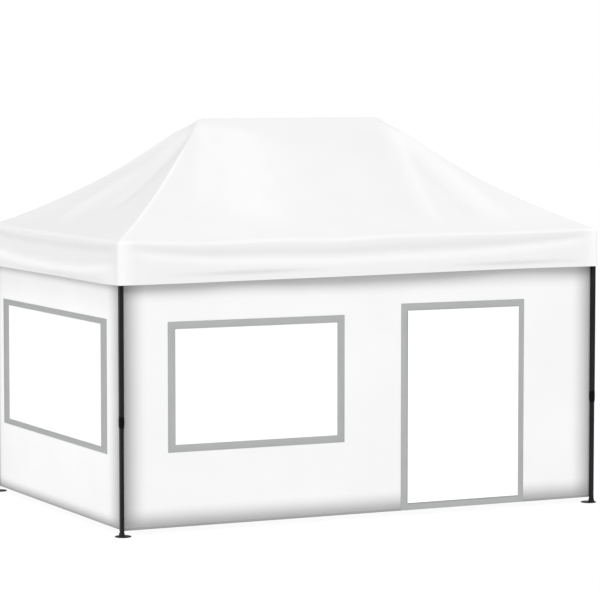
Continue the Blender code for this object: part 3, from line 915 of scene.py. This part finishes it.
def wall(name, side, nodes, holes, painted_rims, material, phase):
    """One wall: it ripples a little, has raised hems, and has painted shade along its edges.

    The long walls lap over the edges of the short ones, behind the legs.
    """
    edges, face = side.edges(*nodes)
    if side.facing == "y":
        edges = grown(edges, CORNER_LAP, 0.0)
    left, right, bottom, top = edges
    at_left, at_right, at_bottom, (top_depth, top_start, top_end) = painted_rims

    def out_of(u, z):
        edge_u, edge_z = edge_distances(u, z, edges)
        calm = smooth_step(edge_u, 0.0, CALM_SIDE) * smooth_step(edge_z, 0.0, CALM_END)
        for hole in holes:
            calm = calm * smooth_step(away_from(u, z, hole), DOOR_BAND, CALM_SIDE)
        ripple = 0.5 * np.sin(u * 4.1 + phase + 0.7 * np.sin(z * 2.3))
        ripple = ripple + 0.3 * np.sin(u * 7.7 - z * 3.1 + 2.0 * phase)
        hem = 1.0 - smooth_step(np.minimum(edge_u, z - bottom), HEM, HEM + HEM_STEP)
        return HEM_RISE * (hem - 1.0) - WALL_SET_BACK - (1.0 + ripple) * RIPPLE * calm

    def marks_of(u, z):
        # The margin is painted shade: beside the legs and the wall's sides, along its foot, and under the
        # valance, where its shadow falls
        beside_edge = np.maximum(rim(u - left, *at_left), rim(right - u, *at_right))
        low = rim(z - bottom, *at_bottom)
        high = top_depth * (1.0 - smooth_step(HEM_Z - z, top_start, top_end))
        # Painted shade that grows towards the wall's foot, against the real shade at its top
        painted_foot_factor = 1.0 - PAINTED_FOOT_SHADE[side.facing] * (1.0 - (z - bottom) / (top - bottom))
        return {"margin": 1.0 - (1.0 - beside_edge) * (1.0 - low) * (1.0 - high) * painted_foot_factor}

    rims = ((left + HEM, left + HEM + HEM_STEP, right - HEM - HEM_STEP, right - HEM),
            (bottom + HEM, bottom + HEM + HEM_STEP))
    points, faces, marks = sheet_grid(side, edges, face, holes, out_of, marks_of, rims)
    piece = new_piece(name, shell(name, points, faces, WALL_FABRIC, marks), material)
    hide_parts(*nodes)
    foot_z = bottom + HEM_SEAM
    runs = [((left + SEAM_SIDE_END, foot_z), (right - SEAM_SIDE_END, foot_z))]
    for u in (left + HEM_SEAM, right - HEM_SEAM):
        runs.append(((u, bottom + HEM), (u, top - SEAM_TOP_END)))
    sewing = sew(name + "_stitches", side, runs, lambda u, z: face + out_of(u, z) + STITCH_RISE / 4,
                 WHITE_THREAD, holes=holes)


def band(name, side, outer, across, upright, face, nodes):
    """Four mitred strips of webbing round an opening, with two rows of stitches."""
    bevel = BAND_BEVEL
    profile = [
        (0.0, -BAND_BACK), (0.0, BAND_FRONT - bevel), (bevel / 3, BAND_FRONT - bevel / 3),
        (bevel, BAND_FRONT), (across - bevel, BAND_FRONT), (across - bevel / 3, BAND_FRONT - bevel / 3),
        (across, BAND_FRONT - bevel), (across, -BAND_BACK),
    ]
    loops = []
    for inset, height in profile:
        corners = corners_of(grown(outer, -inset, -(inset * upright / across)))
        loops.append([side.place(u, face + height, z) for u, z in corners])
    points, faces = loft(loops, closed=True)
    faces = [side.turned(*f) for f in faces]
    piece = new_piece(name + "_band", mesh_of(name, points, faces, 50.0), WEBBING)
    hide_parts(*nodes)
    runs = []
    for share in BAND_SEAMS:
        runs.extend(runs_round(grown(outer, -across * share, -upright * share)))
    sewing = sew(name + "_band_stitches", side, runs, lambda u, z: face + BAND_FRONT, GREY_THREAD)


def pane(name, side, edges, face):
    """A sheet of window film, slightly hollow and held flat along its edges."""

    def out_of(u, z):
        edge_u, edge_z = edge_distances(u, z, edges)
        calm = smooth_step(edge_u, 0.0, PANE_CALM) * smooth_step(edge_z, 0.0, PANE_CALM)
        return -PANE_HOLLOW * calm * (0.6 + 0.25 * np.sin(u * 5.0 + 1.0) + 0.15 * np.sin(u * 3.0 + z * 6.0))

    points, faces, _ = sheet_grid(side, edges, face, [], out_of)
    piece = new_piece(name + "_window_pane", shell(name, points, faces, PANE), FILM)
    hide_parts(name + "_window_film")


def window(name, side):
    """A pane and its webbing band. Returns the hole that the wall needs."""
    hole, face = side.edges(name + "_window_film")
    outer, _ = side.edges(name + "_window_frame")
    widths = SIDE_BAND if side.facing == "x" else FRONT_BAND
    band(name + "_window", side, outer, *widths, face, [name + "_window_frame"])
    pane(name, side, grown(hole, PANE_SEAM), face - PANE_SET_BACK)
    return hole


def door():
    """The band round the doorway and the flap. Returns the hole that the wall needs."""
    outer, _ = FRONT.edges("door_frame")
    _, face = FRONT.edges("front_wall_left")
    band("door", FRONT, outer, DOOR_BAND + BAND_LAP, DOOR_BAND + BAND_LAP, face, ["door_frame"])
    low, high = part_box("door_leaf")
    bead_radius = (high.y - low.y) / 2
    axis_y = (high.y + low.y) / 2
    axis_x = high.x - bead_radius
    edges = (low.x, axis_x, low.z, high.z)
    flap_face = -axis_y + FLAP_PROUD

    def out_of(u, z):
        edge = np.minimum(*edge_distances(u, z, edges))
        wave = FLAP_RIPPLE * smooth_step(edge, *FLAP_CALM) * (np.sin(u * 6.0) + np.sin(z * 3.7 + 1.0))
        return wave - FLAP_RIPPLE * smooth_step(edge, FLAP_HEM, FLAP_HEM + HEM_STEP)

    inner = grown(edges, -FLAP_HEM)
    step_in = grown(inner, -HEM_STEP)
    rims = ((*inner[:2], *step_in[:2]), (*inner[2:], *step_in[2:]))
    points, faces, _ = sheet_grid(FRONT, edges, flap_face, [], out_of, None, rims)
    flap = new_piece("door_flap", shell("door_flap", points, faces, FLAP), FILM, "door")
    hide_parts("door_leaf")
    ring = circle(bead_radius - PIPING_PLAY, 20)
    loops = []
    for z, share in ((low.z, 0.7), (low.z + PIPING_END, 1.0), (high.z - PIPING_END, 1.0), (high.z, 0.7)):
        loops.append([(axis_x + u * share, axis_y + v * share, z) for u, v in ring])
    bead = new_piece("door_piping", mesh_of("door_piping", *loft(loops)), FILM, "door")
    runs = runs_round(grown(edges, FLAP_SEAM - FLAP_HEM))
    sewing = sew("door_flap_stitches", FRONT, runs, lambda u, z: flap_face, WHITE_THREAD, "door")
    return grown(outer, -DOORWAY_LAP)


def build_walls():
    front_holes = [window("front", FRONT), door()]
    front_nodes = ["front_wall_left", "front_wall_right", "front_wall_over_door"]
    wall("front_wall_sheet", FRONT, front_nodes, front_holes, LONG_PAINTED_RIMS, FRONT_CLOTH, 0.4)
    wall("back_wall_sheet", BACK, ["back_wall"], [], LONG_PAINTED_RIMS, FRONT_CLOTH, 2.1)
    for name, side, phase in (("left", LEFT, 1.2), ("right", RIGHT, 3.0)):
        holes = [window(name, side)]
        wall(name + "_wall_sheet", side, [name + "_wall"], holes, SHORT_PAINTED_RIMS, SIDE_CLOTH, phase)


# Metal and plastic parts

# Widths of the rounded edges of bars and tubes, and of the posts and the ridge bar
TUBE_EDGE = 0.0012
POST_EDGE = 0.0005

# Half widths of the bores in latches, brackets and feet, and their corner radii
SOCKET = UPPER_HALF + 0.0003
GUIDE = LOWER_HALF + 0.0005
FOOT_BORE = LOWER_HALF + 0.0004
BORE_CORNER = 0.0004
FOOT_BORE_CORNER = 0.0020

# Rows of the latch, as shares of its half width and its height, and its ledge for the tube
LATCH_ROWS = (
    (0.88, 0.0), (0.905, 0.02), (0.935, 0.10), (0.970, 0.21), (0.992, 0.33), (1.0, 0.45),
    (1.0, 0.66), (0.990, 0.78), (0.960, 0.89), (0.925, 0.975), (0.905, 1.0),
)
LATCH_CORNER = 0.006
LATCH_LEDGE = 0.017

# Rows of its lever: place before the latch's face, half width, half height and corner radius.
# Then the height of its middle.
LEVER_ROWS = ((-0.003, 0.0085, 0.0150, 0.008), (0.0022, 0.0085, 0.0150, 0.008),
              (0.0034, 0.0072, 0.0135, 0.007))
LEVER_Z = 0.053

# Rows of the bracket, as insets at heights over its foot or below its top, its corner radii
# at the marquee's corner and elsewhere, and its thickness over the tube
BRACKET_FOOT = ((0.0025, 0.0), (0.0006, 0.0010), (0.0, 0.003))
BRACKET_TOP = ((0.0, 0.006), (0.0008, 0.003), (0.003, 0.0008), (0.0060, 0.0))
BRACKET_CORNERS = (0.026, 0.006)
LEAST_RADIUS = 0.0005
BRACKET_ROOF = 0.016

# Rows of the foot's plate, as radius and height, and of its boss, as half width, corner
# radius and height
PLATE_RADIUS = 0.068
ALMOST_ROUND = 0.999
PLATE_ROWS = (
    (0.055, 0.0), (0.0665, 0.0), (0.0680, 0.0010), (0.0680, 0.0042), (0.0668, 0.0056),
    (0.0650, 0.0060), (0.0620, 0.0060), (0.0600, 0.0050), (0.0500, 0.0050),
)
BOSS_ROWS = (
    (0.0300, 0.0299, 0.0040), (0.0297, 0.0290, 0.0070), (0.0265, 0.0235, 0.0115),
    (0.0232, 0.0165, 0.0180), (0.0206, 0.0105, 0.0265), (0.0190, 0.0065, 0.0340),
    (0.0181, 0.0060, 0.0360),
)
BORE_ENDS = (0.0360, 0.0062)

# Bolts of the trusses: radius and half length at the pivots and in the joint blocks, the
# heights of both, and where the two in a block lie from its middle
PIVOT_BOLT = (0.0062, 0.0150)
PIVOT_Z = 2.250
JOINT_BOLT = (0.0048, 0.0222)
JOINT_HEIGHTS = (2.365, 2.135)
JOINT_SIDES = (-0.010, 0.010)
BOLT_BEVEL = 0.0006
BOLT_TIP = 0.86

# Rows of the posts' fittings, as radius and height from the post's end
POST_PLAY = 0.0002
POST_FOOT = ((0.0195, 0.0), (0.0200, 0.001), (0.0200, 0.004), (0.0180, 0.006), (0.0172, 0.040),
             (0.0162, 0.042))
POST_HEAD = ((0.0152, -0.062), (0.0162, -0.060), (0.0168, -0.012), (0.0150, -0.004), (0.0120, 0.0))


def soften_edges(node, width, material):
    """Gives a CAD node its material and rounds its edges a little."""
    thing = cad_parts[node]
    for slot in thing.material_slots:
        slot.material = material
    weld = thing.modifiers.new("weld", "WELD")
    weld.merge_threshold = 0.00001
    bevel = thing.modifiers.new("bevel", "BEVEL")
    bevel.width = width
    bevel.segments = 2
    bevel.limit_method = "ANGLE"
    bevel.angle_limit = math.radians(30)
    bevel.harden_normals = True


def dress_steel():
    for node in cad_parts:
        if node.startswith(("leg_upper", "leg_lower", "truss", "cross_truss")):
            soften_edges(node, TUBE_EDGE, STEEL)
        if node.startswith(("peak_post", "ridge_bar")):
            soften_edges(node, POST_EDGE, STEEL)


def latch(name, side_x, side_y):
    """The moulded height latch, a rounded sleeve with a thumb lever on its outer face."""
    low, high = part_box("leg_latch_" + name)
    _, _, half = middle("leg_latch_" + name)
    x, y = side_x * LEG_X, side_y * LEG_Y
    tall = high.z - low.z
    ledge = low.z + LATCH_LEDGE
    loops = []
    for share, rise in LATCH_ROWS:
        loops.append(loop_at(x, y, low.z + tall * rise, rounded(half * share, LATCH_CORNER)))
    for bore, z in ((SOCKET, high.z), (SOCKET, ledge), (GUIDE, ledge), (GUIDE, low.z)):
        loops.append(loop_at(x, y, z, rounded(bore, BORE_CORNER)))
    lever = []
    for out, half_u, half_z, corner in LEVER_ROWS:
        lever.append([(x + u * side_y, y + side_y * (half + out),
                       low.z + LEVER_Z + v + math.copysign(half_z - half_u, v))
                      for u, v in rounded(half_u, corner)])
    mesh = mesh_of("latch", *merge([loft(loops, closed=True), loft(lever)]), 40.0)
    piece = new_piece("height_latch_" + name, mesh, NYLON)
    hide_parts("leg_latch_" + name)


def bracket(name, side_x, side_y):
    """The moulded bracket on a leg top, round at the marquee's corner."""
    low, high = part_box("corner_bracket_" + name)
    x, y, half = middle("corner_bracket_" + name)
    at_corner, elsewhere = BRACKET_CORNERS
    radii = [at_corner if quarter == (side_x, side_y) else elsewhere for quarter in QUARTERS]
    loops = [loop_at(x, y, z, rounded(SOCKET, BORE_CORNER)) for z in (high.z - BRACKET_ROOF, low.z)]
    rows = [(inset, low.z + rise) for inset, rise in BRACKET_FOOT]
    rows = rows + [(inset, high.z - drop) for inset, drop in BRACKET_TOP]
    for inset, z in rows:
        own = tuple(max(LEAST_RADIUS, radius - inset) for radius in radii)
        loops.append(loop_at(x, y, z, rounded(half - inset, own)))
    mesh = mesh_of("bracket", *loft(loops), 40.0)
    piece = new_piece("leg_top_bracket_" + name, mesh, NYLON)
    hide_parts("corner_bracket_" + name)


def foot(name, side_x, side_y):
    """The round foot plate with a flared boss, which rides on the inner tube."""
    centre_x, centre_y, radius = middle("foot_plate_" + name)
    x, y = side_x * LEG_X, side_y * LEG_Y
    plate = []
    for size, z in PLATE_ROWS:
        scaled = radius * size / PLATE_RADIUS
        plate.append(loop_at(centre_x, centre_y, z, rounded(scaled, scaled * ALMOST_ROUND, 16)))
    boss = [loop_at(x, y, z, rounded(half, corner)) for half, corner, z in BOSS_ROWS]
    bore = [loop_at(x, y, z, rounded(FOOT_BORE, FOOT_BORE_CORNER)) for z in BORE_ENDS]
    mesh = mesh_of("foot", *merge([loft(plate), loft(boss + bore)]), 40.0)
    piece = new_piece("foot_" + name, mesh, STEEL, name + "_leg")
    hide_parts("foot_plate_" + name)


def bolt(centre, axis, radius, reach):
    """A bolt along an axis, whose hexagon heads stand out at both ends."""
    directions = {"x": ((0, 1, 0), (0, 0, 1), (1, 0, 0)), "y": ((0, 0, 1), (1, 0, 0), (0, 1, 0))}[axis]
    across, up, out = (np.array(d, float) for d in directions)
    flat = reach - BOLT_BEVEL
    rows = ((BOLT_TIP, -reach), (1.0, -flat), (1.0, flat), (BOLT_TIP, reach))
    loops = []
    for share, place in rows:
        loops.append([tuple(np.array(centre) + (u * across + v * up) + place * out)
                      for u, v in circle(radius * share, 6)])
    return loft(loops)


def bolts():
    """Zinc-plated bolt heads where the scissor bars cross and on the joint blocks."""
    parts = []
    bay = LEG_X / 3
    for side in (-1, 1):
        side_x, side_y = side * LEG_X, side * LEG_Y
        for x in (-2 * bay, 0.0, 2 * bay):
            parts.append(bolt((x, side_y, PIVOT_Z), "y", *PIVOT_BOLT))
        for y in (-LEG_Y / 2, LEG_Y / 2):
            for x in (side_x, side * bay):
                parts.append(bolt((x, y, PIVOT_Z), "x", *PIVOT_BOLT))
        for z in JOINT_HEIGHTS:
            for x in (-bay, bay):
                for u in JOINT_SIDES:
                    parts.append(bolt((x + u, side_y, z), "y", *JOINT_BOLT))
            for u in JOINT_SIDES:
                parts.append(bolt((side_x, u, z), "x", *JOINT_BOLT))
    new_piece("truss_bolts", mesh_of("bolts", *merge(parts), 25.0), ZINC)


def post_fittings():
    """A moulded foot and head on each peak post."""
    for side in ("left", "right"):
        low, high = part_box("peak_post_" + side)
        x, _, radius = middle("peak_post_" + side)
        for label, rows, base in (("foot", POST_FOOT, low.z), ("head", POST_HEAD, high.z)):
            bore = [(radius + POST_PLAY, z) for z in (rows[-1][1], rows[0][1])]
            loops = [loop_at(x, 0.0, base + z, circle(size, 32)) for size, z in (*rows, *bore)]
            mesh = mesh_of("fitting", *loft(loops, closed=True), 40.0)
            new_piece("post_" + label + "_" + side, mesh, NYLON)


# Stage

FLOOR_REACH = 60.0
FLOOR_GREY = 0.08
FLOOR_GLOW = 0.93

# The wide soft light, in degrees: how high it stands, how far it is turned to the left from
# straight in front of the door side, and how wide it is
KEY_HEIGHT = 53
KEY_LEFT = 14
KEY_SPREAD = 34


def pale_floor():
    """A plain pale material, which glows so that the floor stays white."""
    shader = Shader("pale_floor")
    patches = shader.plus(shader.between(shader.noise(0.6), -0.003, 0.003), 0.5)
    return shader.finish({
        "Base Color": shader.colour(patches, grey(FLOOR_GREY - 0.01), grey(FLOOR_GREY + 0.01)),
        "Roughness": 0.9,
        "Specular IOR Level": 0.0,
        "Emission Color": (1.0, 1.0, 1.0, 1.0),
        "Emission Strength": FLOOR_GLOW,
    })


def stage():
    """A wide pale floor."""
    outline = circle(FLOOR_REACH, 64)
    mesh = mesh_of("floor", loop_at(0.0, 0.0, 0.0, outline), [tuple(range(len(outline)))])
    mesh.materials.append(pale_floor())
    floor = linked("floor", mesh)


def light(kind, name, place, tilt, turn, **settings):
    """A light whose tilt up from straight down and turn from straight back are in degrees."""
    data = bpy.data.lights.new(name, kind)
    for key, value in settings.items():
        setattr(data, key, value)
    return linked(name, data, place, math.radians(tilt), math.radians(turn))


def lights():
    """A wide soft light from the front left, and a low one that points level from the left."""
    spread = math.radians(KEY_SPREAD)
    light("SUN", "key", (0.0, 0.0, 0.0), 90 - KEY_HEIGHT, -KEY_LEFT, angle=spread, energy=1.70)
    low = light("AREA", "left_fill", (-8.0, 0.0, 1.3), 90, -90, shape="DISK", size=2.0, energy=66.0)
    low.visible_camera = False


def world_light(level):
    """An even pale surround, seen as white."""
    world = bpy.data.worlds.new("surround")
    world.use_nodes = True
    tree = world.node_tree
    background = tree.nodes["Background"]
    background.inputs["Strength"].default_value = level
    white = tree.nodes.new("ShaderNodeBackground")
    path = tree.nodes.new("ShaderNodeLightPath")
    choice = tree.nodes.new("ShaderNodeMixShader")
    for node in (background, white):
        node.inputs["Color"].default_value = (1.0, 1.0, 1.0, 1.0)
    tree.links.new(path.outputs["Is Camera Ray"], choice.inputs[0])
    tree.links.new(background.outputs[0], choice.inputs[1])
    tree.links.new(white.outputs[0], choice.inputs[2])
    tree.links.new(choice.outputs[0], tree.nodes["World Output"].inputs["Surface"])
    bpy.context.scene.world = world


def camera():
    data = bpy.data.cameras.new("camera")
    data.lens = CAMERA_LENS
    data.sensor_width = SENSOR
    data.clip_end = CAMERA_REACH
    tilt = math.pi / 2 - CAMERA_PITCH
    bpy.context.scene.camera = linked("camera", data, CAMERA_PLACE, tilt, -CAMERA_YAW)


def main():
    camera()
    cover()
    build_walls()
    dress_steel()
    for name, signs in CORNERS.items():
        latch(name, *signs)
        bracket(name, *signs)
        foot(name, *signs)
    bolts()
    post_fittings()
    stage()
    world_light(level=0.70)
    lights()
    bpy.context.scene.view_settings.view_transform = "Standard"


main()
